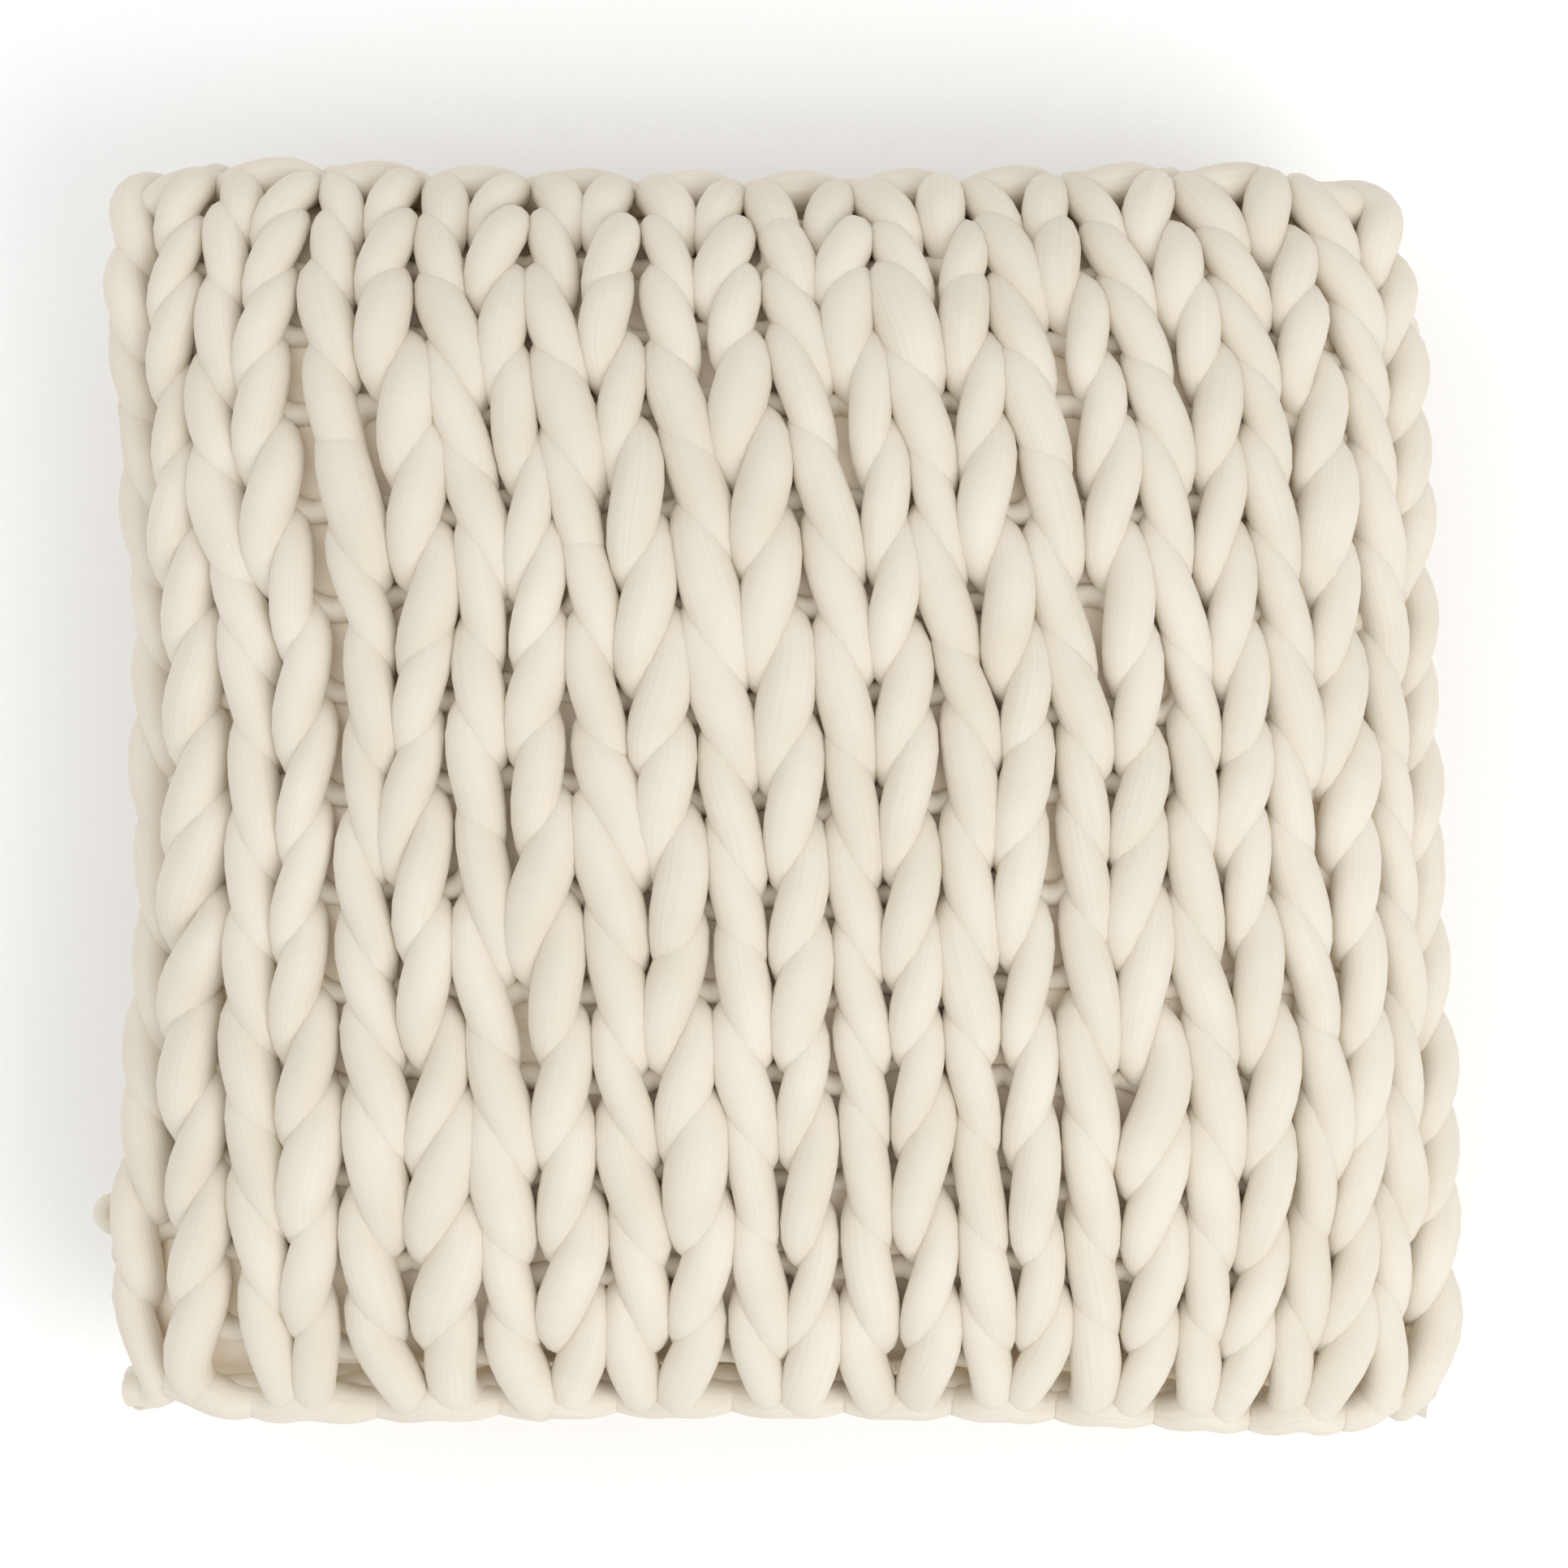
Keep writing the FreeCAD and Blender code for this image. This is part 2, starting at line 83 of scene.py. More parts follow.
def linear(hex_colour: str) -> tuple[float, float, float, float]:
    """Turn an sRGB hex colour into linear RGBA.

    Args:
        hex_colour: Six hex digits with a leading hash.

    Returns:
        Red, green, blue and an alpha of 1, ready for a shader socket.
    """
    channels = [int(hex_colour[i : i + 2], 16) / 255 for i in (1, 3, 5)]
    red, green, blue = (
        c / 12.92 if c <= 0.04045 else ((c + 0.055) / 1.055) ** 2.4 for c in channels
    )
    return red, green, blue, 1.0


def add_node(
    tree: bpy.types.NodeTree,
    kind: str,
    settings: dict[str, object] | None = None,
    links: dict[str | int, bpy.types.NodeSocket] | None = None,
) -> bpy.types.Node:
    """Add a shader node, set it up and link it.

    Args:
        tree: The material's node tree.
        kind: The node's type, without the ShaderNode that they all start with.
        settings: Property names or input names, and their values.
        links: Input names, and the sockets that feed them.

    Returns:
        The new node.
    """
    node = tree.nodes.new(f"ShaderNode{kind}")
    for name, value in (settings or {}).items():
        if name in node.inputs:
            node.inputs[name].default_value = value
        else:
            setattr(node, name, value)
    for name, socket in (links or {}).items():
        tree.links.new(socket, node.inputs[name])
    return node


@dataclass(frozen=True)
class Finish:
    """A surface whose colour varies in patches and whose relief follows fibres or threads."""

    name: str
    base: str
    shade: str
    roughness: float
    patch_mm: float
    grain_mm: tuple[float, float, float]
    relief_mm: float
    coords: str = "Object"
    shader: dict[str, object] = field(default_factory=dict)

    def grain(self, tree: bpy.types.NodeTree, place: bpy.types.NodeSocket) -> bpy.types.NodeSocket:
        """Return the height of the surface's finest relief, from 0 to 1.

        Args:
            tree: The material's node tree.
            place: Coordinates in metres.

        Returns:
            A socket that carries the height.
        """
        scale = tuple(1 / (size * MM) for size in self.grain_mm)
        stretched = add_node(tree, "Mapping", {"Scale": scale}, {"Vector": place})
        fibres = add_node(
            tree,
            "TexNoise",
            {"Scale": 1.0, "Detail": 4.0, "Roughness": 0.6},
            {"Vector": stretched.outputs["Vector"]},
        )
        return fibres.outputs["Fac"]

    def build(self) -> bpy.types.Material:
        """Make the material."""
        material = bpy.data.materials.new(self.name)
        material.use_nodes = True
        tree = material.node_tree
        tree.nodes.clear()
        coords = add_node(tree, "TexCoord")
        place = coords.outputs[self.coords]
        patches = add_node(
            tree,
            "TexNoise",
            {"Scale": 1 / (self.patch_mm * MM), "Detail": 2.0},
            {"Vector": coords.outputs["Object"]},
        )
        height = self.grain(tree, place)
        mottle = add_node(
            tree,
            "Math",
            {"operation": "ADD"},
            {0: height, 1: patches.outputs["Fac"]},
        )
        share = add_node(
            tree,
            "MapRange",
            {"From Min": 0.7, "From Max": 1.3},
            {"Value": mottle.outputs["Value"]},
        )
        colour = add_node(
            tree,
            "MixRGB",
            {"Color1": linear(self.shade), "Color2": linear(self.base)},
            {"Fac": share.outputs["Result"]},
        )
        bump = add_node(
            tree,
            "Bump",
            {"Strength": 1.0, "Distance": self.relief_mm * MM},
            {"Height": height},
        )
        surface = add_node(
            tree,
            "BsdfPrincipled",
            {"Roughness": self.roughness, **self.shader},
            {"Base Color": colour.outputs["Color"], "Normal": bump.outputs["Normal"]},
        )
        add_node(tree, "OutputMaterial", {}, {"Surface": surface.outputs["BSDF"]})
        return material


# Felted merino roving: matt and soft, light sinks in a little and a faint nap
# lightens the edges.  Its fibres are about 0.02 mm across; what is drawn is the bundles
# that they lie in, as streaks along the yarn about 2.2 mm wide.
ROVING = Finish(
    "felted_wool_roving",
    base="#E6DFD2",
    shade="#DBD3C2",
    roughness=0.95,
    patch_mm=35.0,
    grain_mm=(2.2, 18.0, 18.0),
    relief_mm=0.1,
    coords="UV",
    shader={
        "Subsurface Weight": 0.12,
        "Subsurface Radius": (1.0, 1.0, 1.0),
        "Subsurface Scale": 0.003,
        "Sheen Weight": 0.06,
        "Sheen Roughness": 0.5,
        "Specular IOR Level": 0.15,
    },
)
# Plain-woven cotton sheeting, unbleached: flat and matt with a faint nap.  Its threads,
# about 0.3 mm apart, aren't drawn one by one; an even 0.8 mm grain stands for them.
LINING = Finish(
    "plain_woven_cotton",
    base="#FBF3E6",
    shade="#F0E5D3",
    roughness=0.9,
    patch_mm=20.0,
    grain_mm=(0.8, 0.8, 0.8),
    relief_mm=0.1,
    shader={"Sheen Weight": 0.1, "Specular IOR Level": 0.2},
)
# Woven polyester zip tape, dyed to match: tight and dull with a slight nap.  An even
# grain stands for its ribs, half a millimetre apart.
ZIP_TAPE = Finish(
    "woven_polyester_tape",
    base="#E3DBC9",
    shade="#D2C8B3",
    roughness=0.75,
    patch_mm=9.0,
    grain_mm=(0.5, 0.5, 0.5),
    relief_mm=0.08,
    shader={"Sheen Weight": 0.15},
)
# Injection-moulded acetal teeth: smooth, with the soft shine of a moulded face and a
# barely raised waviness of 1.5 mm.
RESIN_TEETH = Finish(
    "moulded_acetal_teeth",
    base="#E9E2D2",
    shade="#DDD4C0",
    roughness=0.35,
    patch_mm=6.0,
    grain_mm=(1.5, 1.5, 1.5),
    relief_mm=0.01,
)
# Die-cast zinc under baked enamel: the paint hides the metal, its clear top coat shines,
# and its skin has an orange-peel ripple of 0.7 mm.
ENAMELLED_ZINC = Finish(
    "enamelled_zinc",
    base="#E4DCCA",
    shade="#D8CFBA",
    roughness=0.28,
    patch_mm=5.0,
    grain_mm=(0.7, 0.7, 0.7),
    relief_mm=0.01,
    shader={"Coat Weight": 0.4, "Coat Roughness": 0.15},
)
# Spun-bonded polypropylene pad cloth: a dry, papery white.  An even 1.2 mm grain stands
# for its bonding points.
CASING = Finish(
    "nonwoven_pad_cloth",
    base="#F4F4F2",
    shade="#E6E6E3",
    roughness=0.9,
    patch_mm=18.0,
    grain_mm=(1.2, 1.2, 1.2),
    relief_mm=0.15,
)
# Carded hollow polyester fibre: white, matt and woolly.  Its fibres are about 0.03 mm
# across; what is drawn is tufts of them, as strands 0.6 mm wide.
FIBRE = Finish(
    "hollow_fibre_filling",
    base="#FAFAFA",
    shade="#E4E4E4",
    roughness=1.0,
    patch_mm=25.0,
    grain_mm=(0.6, 3.0, 3.0),
    relief_mm=0.8,
)
# Woven polyester satin tape: long floats along it catch the light in fine lines, which
# lie 0.3 mm apart.
SATIN = Finish(
    "satin_label_tape",
    base="#F2F0EA",
    shade="#E6E3DA",
    roughness=0.45,
    patch_mm=8.0,
    grain_mm=(0.3, 4.0, 4.0),
    relief_mm=0.03,
    shader={"Sheen Weight": 0.2},
)
# Matt white studio board, plain but for a barely visible mottle.
FLOOR = Finish(
    "matt_white_floor",
    base="#FFFFFF",
    shade="#FCFCFC",
    roughness=0.9,
    patch_mm=400.0,
    grain_mm=(3.0, 3.0, 3.0),
    relief_mm=0.01,
)


# ---------------------------------------------------------------- the cushion's form


@dataclass(frozen=True)
class Edge:
    """One edge of the cushion in plan: how far out it is at its ends and in its middle."""

    start: float
    middle: float
    end: float

    def at(self, share: float) -> float:
        """Return how far out the edge is at a place from -1, its start, to 1, its end."""
        bow = (self.start + self.end) / 2 - self.middle
        return self.middle + share * (self.end - self.start) / 2 + bow * share * share


def smooth(share: float) -> float:
    """Ease from 0 to 1 as the share goes from 0 to 1, and hold outside."""
    share = min(max(share, 0.0), 1.0)
    return share * share * (3 - 2 * share)


@dataclass
class CushionForm:
    """The middle surface of the knitted layer, as a function of two shares from -1 to 1.

    across runs from the left edge to the right one, and along from the zip edge to the
    closed one.  Equal steps of a share are equal steps of cloth.  slot_fade and slot_end
    say where the slot at the zip begins to open and how long it takes, in shares.
    """

    left: Edge = Edge(-231 * MM, -213 * MM, -232 * MM)
    right: Edge = Edge(227 * MM, 217 * MM, 213 * MM)
    zip_edge: Edge = Edge(-214 * MM, -207 * MM, -219 * MM)
    closed_edge: Edge = Edge(216 * MM, 204.5 * MM, 214 * MM)
    half_layer: float = 17 * MM
    rim_layer: float = 10 * MM
    slot_half: float = 12.5 * MM
    corner_cut: float = 4.5 * MM
    corner_power: float = 7.0
    wale_lean: float = 13 * MM
    crown_power: float = 2.6
    underside_flatness: float = 2.2
    slot_fade: tuple[float, float] = (0.7, 0.3)
    slot_end: tuple[float, float] = (0.97, 0.15)
    steps: int = 96
    rises: int = 12

    def __post_init__(self) -> None:
        """Take the heights from the frame and measure the cloth across the crown."""
        low, high = CAD_BOUNDS
        self.mid_height = (low[2] + high[2]) / 2
        self.crown = (high[2] - low[2]) / 2 - self.half_layer
        self.half_length = (high[0] - low[0]) / 2 - self.half_layer
        self.half_width = (high[1] - low[1]) / 2 - self.half_layer
        self._runs = {
            half: [self._cloth_run(half, i / self.rises) for i in range(self.rises + 1)]
            for half in (self.half_length, self.half_width)
        }

    def _cloth_run(self, half: float, rise: float) -> list[float]:
        """Measure the cloth from the middle outwards along a crown of some share of full rise.

        Args:
            half: Half the cushion's size in plan along that line.
            rise: The share of the full crown that the line has.

        Returns:
            For equal steps of cloth from the middle to the rim, the share in plan.
        """
        points = []
        for i in range(self.steps * 4 + 1):
            # steps crowd towards the rim, where the crown drops fastest
            share = math.sin(i / (self.steps * 4) * math.pi / 2)
            height = rise * self.crown * math.sqrt(max(0.0, 1 - share**self.crown_power))
            points.append((share, Vector((share * half, height))))
        lengths = [0.0]
        for (_, a), (_, b) in zip(points, points[1:]):
            lengths.append(lengths[-1] + (b - a).length)
        shares = []
        index = 0
        for i in range(self.steps + 1):
            target = lengths[-1] * i / self.steps
            while index < len(lengths) - 2 and lengths[index + 1] < target:
                index += 1
            span = lengths[index + 1] - lengths[index]
            part = (target - lengths[index]) / span
            shares.append(points[index][0] + part * (points[index + 1][0] - points[index][0]))
        return shares

    def _plan_share(self, half: float, rise: float, share: float) -> float:
        """Turn a share of cloth into a share in plan, on a line of the given rise."""
        runs = self._runs[half]
        level = min(max(rise, 0.0), 1.0) * self.rises
        low = min(int(level), self.rises - 1)
        place = min(abs(share), 1.0) * self.steps
        left = min(int(place), self.steps - 1)

        def read(run: list[float]) -> float:
            return run[left] + (place - left) * (run[left + 1] - run[left])

        value = read(runs[low]) + (level - low) * (read(runs[low + 1]) - read(runs[low]))
        return math.copysign(value, share)

    def rise(self, share: float) -> float:
        """Return the crown's height at a plan share, as a share of its full height."""
        return math.sqrt(max(0.0, 1 - min(abs(share), 1.0) ** self.crown_power))

    def point(self, across: float, along: float, face: Face) -> Vector:
        """Return the middle surface's point at two shares of cloth.

        Args:
            across: From -1 at the left edge to 1 at the right one.
            along: From -1 at the zip edge to 1 at the closed one.
            face: The side of the cushion.

        Returns:
            The point, in metres.
        """
        x, y = across, along
        for _ in range(3):
            x, y = (
                self._plan_share(self.half_length, self.rise(y), across),
                self._plan_share(self.half_width, self.rise(x), along),
            )
        left = self.left.at(y) + self.rim_layer
        right = self.right.at(y) - self.rim_layer
        near = self.zip_edge.at(x) + self.rim_layer
        far = self.closed_edge.at(x) - self.rim_layer
        px = left + (right - left) * (1 + x) / 2
        py = near + (far - near) * (1 + y) / 2
        px -= math.copysign(self.corner_cut, x) * x * x * abs(y) ** self.corner_power
        py -= math.copysign(self.corner_cut, y) * y * y * abs(x) ** self.corner_power
        px -= self.wale_lean * y * (1 - x * x)
        height = self.rise(x) * self.rise(y)
        if face is Face.BACK:
            # the underside rests on the floor, so its crown is pressed flat
            height = 1 - (1 - height) ** self.underside_flatness
        # the zip holds the two panels apart along its slot
        (fade_from, fade), (end, ease) = self.slot_fade, self.slot_end
        parting = smooth((-y - fade_from) / fade) * smooth((end - abs(x)) / ease)
        offset = self.crown * height + self.slot_half * parting * (1 - height) ** 2
        return Vector((px, py, self.mid_height + face.value * offset))

    def frame_at(self, across: float, along: float, face: Face) -> tuple[Vector, Vector]:
        """Return the middle surface's point and its outward normal."""
        step = 0.004
        a0, a1 = max(across - step, -1.0), min(across + step, 1.0)
        b0, b1 = max(along - step, -1.0), min(along + step, 1.0)
        over = self.point(a1, along, face) - self.point(a0, along, face)
        up = self.point(across, b1, face) - self.point(across, b0, face)
        normal = over.cross(up).normalized() * face.value
        return self.point(across, along, face), normal


# ---------------------------------------------------------------- yarn


@dataclass
class Yarn:
    """A run of soft yarn: its centre line and its radius at each point."""

    points: list[Vector] = field(default_factory=list)
    radii: list[float] = field(default_factory=list)

    def add(self, point: Vector, radius: float) -> None:
        """Add a point to the end of the yarn."""
        self.points.append(point)
        self.radii.append(radius)

    def length(self) -> float:
        """Return the length of the centre line."""
        return sum((b - a).length for a, b in zip(self.points, self.points[1:]))

    def to_mesh(self, name: str, ring: int, material: bpy.types.Material) -> bpy.types.Object:
        """Make the yarn a closed tube with a map in metres, around and along it.

        Args:
            name: The piece's name.
            ring: Quarter-turn resolution of the tube.
            material: The yarn's finish.

        Returns:
            A mesh object at the world's origin.
        """
        curve = bpy.data.curves.new(f"{name}_line", "CURVE")
        curve.dimensions = "3D"
        curve.bevel_depth = 1.0
        curve.bevel_resolution = ring
        curve.use_fill_caps = True
        spline = curve.splines.new("POLY")
        spline.points.add(len(self.points) - 1)
        for knot, point, radius in zip(spline.points, self.points, self.radii):
            knot.co = (*point, 1.0)
            knot.radius = radius
        holder = bpy.data.objects.new(f"{name}_line", curve)
        mesh = bpy.data.meshes.new_from_object(holder)
        bpy.data.objects.remove(holder)
        bpy.data.curves.remove(curve)
        mesh.name = name
        girth = 2 * math.pi * sum(self.radii) / len(self.radii)
        length = self.length()
        for loop in mesh.uv_layers[0].data:
            loop.uv = (loop.uv[0] * girth, loop.uv[1] * length)
        mesh.materials.clear()
        mesh.materials.append(material)
        for polygon in mesh.polygons:
            polygon.use_smooth = True
        piece = bpy.data.objects.new(name, mesh)
        bpy.context.scene.collection.objects.link(piece)
        return piece


@dataclass
class KnittedPanel:
    """One face of the cover, knitted in stocking stitch from a single fat yarn.

    Widths are in stitches and heights in rows where they aren't in metres.  The first of
    two values is for a stitch's left leg, the second for its right leg.
    """

    form: CushionForm
    face: Face
    seed: int
    wales: int = 12
    courses: int = 14
    loop_height: float = 2.1
    leg_swing: tuple[float, float] = (0.18, 0.215)
    leg_depth: tuple[float, float] = (5.0 * MM, 6.4 * MM)
    wale_pitch: float = 41 * MM
    row_pitch: float = 32 * MM
    yarn_radius: float = 8.7 * MM
    leg_taper: tuple[float, float] = (0.42, 0.62)
    side_edge: float = 0.992
    closed_edge: float = 0.985
    zip_edge: float = 0.99
    samples: int = 32
    turn_samples: int = 12
    turn_reach: float = 0.22
    turn_drop: float = 0.6
    turn_power: int = 40
    lift_middle: float = 0.2
    lift_swing: float = 0.8
    leg_plumpness: float = 1.5
    swell_spread: float = 0.07
    shift_spread: float = 0.07
    sway_spread: float = 0.035
    swing_spread: float = 0.1
    depth_spread: float = 0.12
    course_spread: float = 0.05
    fat_stitches: float = 0.04
    fat_swell: float = 1.18
    loose_swell: float = 0.94
    spread_limits: tuple[float, float] = (0.85, 1.25)
    edge_radius: float = 7.4 * MM
    edge_thinning: float = 0.26
    slot_clearance: float = 3.0 * MM
    chain_radius: float = 7.4 * MM
    chain_thinning: float = 0.45
    chain_plumpness: float = 1.3
    chain_row: float = 0.25
    chain_wave: tuple[float, float] = (0.1, 0.2)
    chain_phase: float = 0.8
    chain_proud: tuple[float, float] = (3.0, 0.4)
    tucked_end: float = 14 * MM
    tuck_power: int = 14
    loose_edge: int = 2
    looseness: float = 0.034
    edge_proud: float = 2.0 * MM
    cast_on_rise: float = 0.3
    row_crowding: float = 0.095
    wale_shift: float = 0.045
    edge_fullness: float = 0.65
    drift_scale: float = 0.45
    drift_aspect: float = 0.7
    calm_wales: float = 1.5
    calm_courses: float = 2.0
    wale_drift: float = 0.2
    row_drift: float = 0.3

    def __post_init__(self) -> None:
        """Draw the panel's irregularities, so that no two stitches are alike."""
        self.draw = random.Random(self.seed)
        self.course_drift = [
            self.draw.uniform(-self.course_spread, self.course_spread)
            for _ in range(self.courses + 2)
        ]

    def place(self, wale: float, course: float, lift: float) -> Vector:
        """Return the point at a place in the knitting.

        Args:
            wale: Stitches from the left edge.
            course: Rows from the zip edge.
            lift: Metres in front of the layer's middle surface.

        Returns:
            The point in the frame.
        """
        first = 0.5 - self.loop_height / 2
        last = self.courses - first
        # hand knitting drifts a little, over a few stitches at a time
        here = Vector((wale, course * self.drift_aspect, self.seed)) * self.drift_scale
        calm = smooth(min(wale, self.wales - wale) / self.calm_wales)
        calm *= smooth((course - first) / self.calm_courses)
        calm *= smooth((last - course) / self.calm_courses)
        elsewhere = here + Vector((self.courses, self.wales, 0.0))
        wale += noise.noise(here) * calm * self.wale_drift
        course += noise.noise(elsewhere) * calm * self.row_drift
        across = self.side_edge * (2 * wale / self.wales - 1)
        # the left wales are stretched a little wider than the right ones
        across += self.wale_shift * (1 - across * across)
        share = (course - first) / (last - first)
        # the last rows lie closer, drawn over the closed edge
        share += self.row_crowding * (share - max(share, 0.0) ** 6)
        along = -self.zip_edge + share * (self.zip_edge + self.closed_edge)
        point, normal = self.form.frame_at(across, along, self.face)
        return point + normal * lift

    def turn(self, course: int, end: int) -> Yarn:
        """Work out the turn at a selvedge, from one course up to the next.

        Args:
            course: The row that the yarn comes from.
            end: 1 for the right selvedge, -1 for the left one.

        Returns:
            The turn, from the lower course to the upper one.
        """
        yarn = Yarn()
        edge = self.wales if end > 0 else 0
        level = course + 0.5 - self.loop_height / 2
        depth = sum(self.leg_depth) / 2
        for i in range(1, self.turn_samples + 1):
            share = i / self.turn_samples
            bulge = math.sin(math.pi * share)
            lift = depth * (bulge - self.turn_drop)
            point = self.place(edge + end * self.turn_reach * bulge, level + share, lift)
            yarn.add(point, self.yarn_radius * (1 - self.leg_taper[end > 0] * (1 - 0.5 * bulge)))
        return yarn

    def course_yarn(self, course: int) -> Yarn:
        """Work out one course, with the turn that takes it up to the next one.

        Args:
            course: The row's number, from 0 at the zip edge.

        Returns:
            The course's yarn, from the left to the right.
        """
        yarn = Yarn()
        legs = 2 * self.wales
        draw = self.draw.gauss
        swell = [draw(1.0, self.swell_spread) for _ in range(legs)]
        shift = [draw(0.0, self.shift_spread) for _ in range(legs)]
        sway = [draw(0.0, self.sway_spread) for _ in range(legs)]
        swing = [self.leg_swing[leg % 2] * draw(1.0, self.swing_spread) for leg in range(legs)]
        depth = [self.leg_depth[leg % 2] * draw(1.0, self.depth_spread) for leg in range(legs)]
        for leg in range(legs):
            if self.draw.random() < self.fat_stitches:
                swell[leg] *= self.fat_swell
        if self.face is Face.FRONT:
            # a loose column leaves a ladder that the lining shows through
            before, after = 2 * self.loose_edge - 1, 2 * self.loose_edge
            sway[before] -= self.looseness
            sway[after] += self.looseness
            swell[before] *= self.loose_swell
            swell[after] *= self.loose_swell
        # a stitch fattens or slims to fill its share of the cloth
        slimmest, fattest = self.spread_limits
        for leg in range(legs):
            place = (leg + 0.5) / 2
            ends = [self.place(place + step, course + 0.5, 0.0) for step in (-0.5, 0.5)]
            spread = (ends[1] - ends[0]).length / self.wale_pitch
            swell[leg] *= min(max(spread, slimmest), fattest)
        steps = self.samples * self.wales

        def eased(values: list[float], place: float) -> float:
            # each value holds at the middle of its leg and eases into the next
            base = math.floor(place - 0.5)
            part = smooth(place - 0.5 - base)
            a = values[max(base, 0)]
            b = values[min(base + 1, legs - 1)]
            return a + (b - a) * part

        for i in range(steps + 1):
            turn = 2 * math.pi * i / self.samples
            leg = 2 * i / self.samples
            wale = i / self.samples + eased(swing, leg) * math.sin(2 * turn) + eased(sway, leg)
            row = course + 0.5 - self.loop_height / 2 * math.cos(turn)
            row += eased(shift, leg) + self.course_drift[course]
            lift = self.lift_middle - self.lift_swing * math.cos(2 * turn)
            lift *= eased(depth, leg)
            taper = eased(self.leg_taper * self.wales, leg)
            # nothing hides the yarn's ends in the first and last rows, so they stay full,
            # but for where the first row turns up to the next one
            if course == 0:
                fullness = self.edge_fullness * (1 - (i / steps) ** self.turn_power)
                taper *= 1 - fullness * max(math.cos(turn), 0.0)
            if course == self.courses - 1:
                taper *= 1 - self.edge_fullness * max(-math.cos(turn), 0.0)
            plump = abs(math.sin(turn)) ** self.leg_plumpness
            radius = self.yarn_radius * (1 - taper * (1 - plump))
            yarn.add(self.place(wale, row, lift), radius * eased(swell, leg))
        if course == self.courses - 1:
            return yarn
        # the yarn runs to and fro, so it turns at the right after even courses
        if course % 2 == 0:
            link = self.turn(course, 1)
            return Yarn(yarn.points + link.points, yarn.radii + link.radii)
        link = self.turn(course, -1)
        return Yarn(link.points[::-1] + yarn.points, link.radii[::-1] + yarn.radii)

    def end_tuck(self, wale: float) -> float:
        """Return how far an edge strand is tucked in at a place: only its ends go in."""
        return abs(2 * wale / self.wales - 1) ** self.tuck_power * self.tucked_end

    def cast_on(self) -> Yarn:
        """Work out the strand that the first course's loops are cast on with."""
        yarn = Yarn()
        steps = self.samples * self.wales
        first = 0.5 - self.loop_height / 2
        for i in range(steps + 1):
            wale = i / self.samples
            wave = abs(math.sin(math.pi * wale))
            tuck = self.end_tuck(wale)
            # it loops up between the legs of each stitch
            row = first + self.cast_on_rise * wave**2
            point = self.place(wale, row, self.edge_proud * wave - tuck)
            # it keeps clear of the zip, on its own side of the slot
            point.z += self.face.value * self.slot_clearance
            yarn.add(point, self.edge_radius * (1 - self.edge_thinning * (1 - wave)))
        return yarn

    def bind_off(self) -> Yarn:
        """Work out the chain that the last course is bound off with, one link to a stitch."""
        yarn = Yarn()
        steps = self.samples * self.wales
        last = self.courses - 0.5 + self.loop_height / 2
        sideways, upwards = self.chain_wave
        rise, sink = self.chain_proud
        for i in range(steps + 1):
            wale = i / self.samples
            turn = 2 * math.pi * wale
            swell = abs(math.sin(turn / 2)) ** self.chain_plumpness
            tuck = self.end_tuck(wale)
            row = last - self.chain_row + upwards * math.cos(turn + self.chain_phase)
            row -= tuck / self.row_pitch
            lift = self.edge_proud * (rise * swell - sink) - tuck
            yarn.add(
                self.place(wale - sideways * math.sin(turn), row, lift),
                self.chain_radius * (1 - self.chain_thinning * (1 - swell)),
            )
        return yarn

    def build(self, material: bpy.types.Material) -> list[bpy.types.Object]:
        """Knit the panel and return its pieces, one for each course.

        Args:
            material: The yarn's finish.

        Returns:
            The pieces, from the zip edge to the closed edge.
        """
        side = self.face.name.lower()
        pieces = [
            self.cast_on().to_mesh(f"knit_{side}_cast_on", 4, material),
            self.bind_off().to_mesh(f"knit_{side}_bind_off", 4, material),
        ]
        for course in range(self.courses):
            yarn = self.course_yarn(course)
            piece = yarn.to_mesh(f"knit_{side}_course_{course + 1:02d}", 5, material)
            # the cushion's weight presses the yarn flat on the floor
            for vertex in piece.data.vertices:
                vertex.co.z = max(vertex.co.z, 0.0)
            pieces.append(piece)
        return pieces


# ---------------------------------------------------------------- lining and pad


